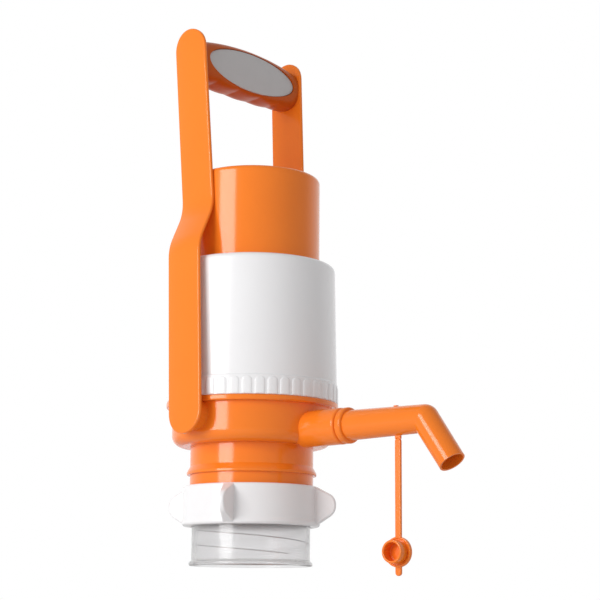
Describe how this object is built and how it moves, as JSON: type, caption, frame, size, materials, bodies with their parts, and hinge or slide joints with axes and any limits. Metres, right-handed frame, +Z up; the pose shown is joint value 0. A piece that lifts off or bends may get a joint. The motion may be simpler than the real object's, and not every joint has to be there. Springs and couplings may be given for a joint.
{
  "type": "water jug hand pump",
  "caption": "Hand pump for a water jug: clear neck cuff with clamp nut, ribbed sleeve round a press cap and bellows, bent outlet spout with tethered plug, and a tall swinging carrying handle.",
  "frame": {"origin": "centre of the clear cuff's open mouth, where the jug's neck goes in", "axes": "+Z up along the pump's axis, +X towards the spout, +Y along the handle's hinge axis"},
  "size_m": [0.1737, 0.0986, 0.2787],
  "materials": {
    "orange_plastic": "glossy moulded polypropylene",
    "white_plastic": "glossy moulded plastic",
    "clear_plastic": "clear, smooth",
    "grey_plate": "satin, plain",
    "natural_plastic": "milky blow-moulded polyethylene",
    "soft_rubber": "matt food-grade rubber"
  },
  "bodies": {
    "neck_clamp": {"clear_cuff": "clear_plastic", "neck_gasket": "soft_rubber"},
    "nut": {"clamp_nut": "white_plastic"},
    "pump": {"base_body": "orange_plastic", "valve_deck": "white_plastic", "deck_seal": "soft_rubber", "outlet_flap": "soft_rubber", "bellows": "natural_plastic", "bellows_ring": "white_plastic", "dip_socket": "white_plastic", "dip_seal": "soft_rubber", "guide_sleeve": "white_plastic"},
    "press": {"press_cap": "orange_plastic", "cap_bumper": "soft_rubber", "inlet_flap": "soft_rubber"},
    "handle": {"handle_arm_left": "orange_plastic", "handle_arm_right": "orange_plastic", "handle_grip": "orange_plastic", "grip_plate": "grey_plate"},
    "spout": {"spout_tube": "orange_plastic", "spout_seal": "soft_rubber"},
    "tether": {"tether_cap": "orange_plastic"}
  },
  "joints": [
    {"name": "nut_turn", "type": "hinge", "parent": "neck_clamp", "child": "nut", "pos_m": [0, 0, 0.03], "axis": [0, 0, 1], "range_deg": [-450, 0]},
    {"name": "base_lift", "type": "slide", "parent": "neck_clamp", "child": "pump", "axis": [0, 0, 1], "range_m": [0, 0.0101]},
    {"name": "press_stroke", "type": "slide", "parent": "pump", "child": "press", "axis": [0, 0, 1], "range_m": [-0.038, 0], "stiffness_N_per_m": 600, "springref_m": 0.01, "deforming": ["bellows"]},
    {"name": "handle_swing", "type": "hinge", "parent": "pump", "child": "handle", "pos_m": [0, 0, 0.072], "axis": [0, 1, 0], "range_deg": [-91.2, 98.6]},
    {"name": "spout_swivel", "type": "hinge", "parent": "pump", "child": "spout", "pos_m": [0.053, 0, 0.0656], "axis": [1, 0, 0], "range_deg": [-45, 45]},
    {"name": "tether_swing", "type": "hinge", "parent": "spout", "child": "tether", "pos_m": [0.0939, 0, 0.05605], "axis": [-0.1045, 0.9945, 0], "range_deg": [-45, 45]}
  ],
  "couplings": [
    {"joint": "base_lift", "follows": "nut_turn", "m_per_rad": -0.0012732}
  ]
}
